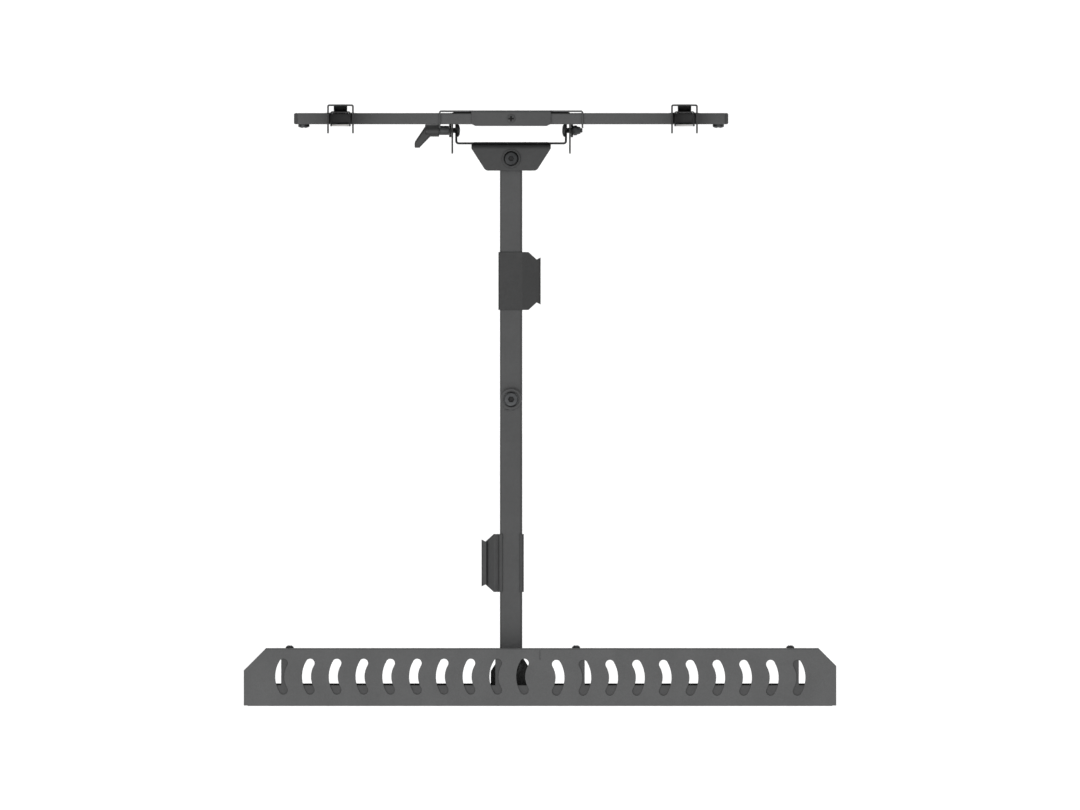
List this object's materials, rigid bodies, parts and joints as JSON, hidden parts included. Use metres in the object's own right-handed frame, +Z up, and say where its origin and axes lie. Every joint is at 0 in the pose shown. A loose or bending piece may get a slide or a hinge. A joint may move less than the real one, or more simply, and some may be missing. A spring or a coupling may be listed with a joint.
{
  "type": "swivel tv wall mount",
  "caption": "Swivelling wall mount for a flat television: slotted wall box, two-part folding arm with cable clips, tilting head, rails and upright television arms.",
  "frame": {"origin": "middle of the wall plate's back face, on the wall", "axes": "+Y into the wall, +Z up, +X to the clamp lever's side; the arms lie straight out along -Y"},
  "size_m": [0.689, 0.6996, 0.44],
  "materials": {
    "powder_coat": "matte powder coat",
    "black_plastic": "moulded, fine grain",
    "natural_nylon": "moulded, satin",
    "black_steel": "black oxide"
  },
  "bodies": {
    "wall": {"wall_plate": "powder_coat", "wall_knuckle": "powder_coat", "top_cover": "powder_coat", "bottom_cover": "powder_coat", "cover_screws": "black_steel", "wall_pivot_bolt": "black_steel", "wall_pivot_washers": "black_steel", "wall_pivot_nut": "black_steel"},
    "rear_link": {"rear_arm": "powder_coat", "rear_arm_plug": "black_plastic", "wall_pivot_bushes": "black_plastic", "rear_cable_clip": "black_plastic", "elbow_bolt": "black_steel", "elbow_washers": "black_steel", "elbow_nut": "black_steel"},
    "front_link": {"front_arm": "powder_coat", "front_arm_elbow_plug": "black_plastic", "front_arm_head_plug": "black_plastic", "elbow_bushes": "black_plastic", "head_pivot_bushes": "black_plastic", "front_cable_clip": "black_plastic"},
    "swivel_head": {"head_knuckle": "powder_coat", "head_pivot_bolt": "black_steel", "head_pivot_washers": "black_steel", "head_pivot_nut": "black_steel", "tilt_bracket": "powder_coat", "tilt_bolts": "black_steel", "tilt_washers": "black_steel", "tilt_nut": "black_steel"},
    "lever": {"clamp_lever": "black_plastic", "clamp_lever_insert": "black_steel"},
    "tilt_head": {"tilt_yoke": "powder_coat", "head_plate": "powder_coat", "upper_rail": "powder_coat", "lower_rail": "powder_coat", "rail_end_caps": "black_plastic", "rail_stop_screws": "black_steel", "rail_screws": "black_steel"},
    "tv_arm_left": {"tv_arm_left": "powder_coat", "rail_clamps_left": "powder_coat", "clamp_spacers_left": "black_plastic", "glide_pads_left": "natural_nylon", "clamp_screws_left": "black_steel"},
    "tv_arm_right": {"tv_arm_right": "powder_coat", "rail_clamps_right": "powder_coat", "clamp_spacers_right": "black_plastic", "glide_pads_right": "natural_nylon", "clamp_screws_right": "black_steel"}
  },
  "joints": [
    {"name": "wall_swivel", "type": "hinge", "parent": "wall", "child": "rear_link", "pos_m": [0.0336, -0.0465, 0], "axis": [0, 0, 1], "range_deg": [-90, 90]},
    {"name": "elbow_swivel", "type": "hinge", "parent": "rear_link", "child": "front_link", "pos_m": [0.0336, -0.3565, 0], "axis": [0, 0, -1], "range_deg": [-90, 90]},
    {"name": "head_swivel", "type": "hinge", "parent": "front_link", "child": "swivel_head", "pos_m": [0.0336, -0.6365, 0], "axis": [0, 0, 1], "range_deg": [-75, 75]},
    {"name": "tilt", "type": "hinge", "parent": "swivel_head", "child": "tilt_head", "pos_m": [0.0336, -0.6693, 0], "axis": [1, 0, 0], "range_deg": [-5, 15]},
    {"name": "lever_turn", "type": "hinge", "parent": "swivel_head", "child": "lever", "pos_m": [0.1236, -0.6693, 0], "axis": [1, 0, 0], "range_deg": [0, 120]},
    {"name": "left_arm_slide", "type": "slide", "parent": "tilt_head", "child": "tv_arm_left", "axis": [1, 0, 0], "range_m": [-0.063, 0.0195]},
    {"name": "right_arm_slide", "type": "slide", "parent": "tilt_head", "child": "tv_arm_right", "axis": [-1, 0, 0], "range_m": [-0.065, 0.0165]}
  ]
}
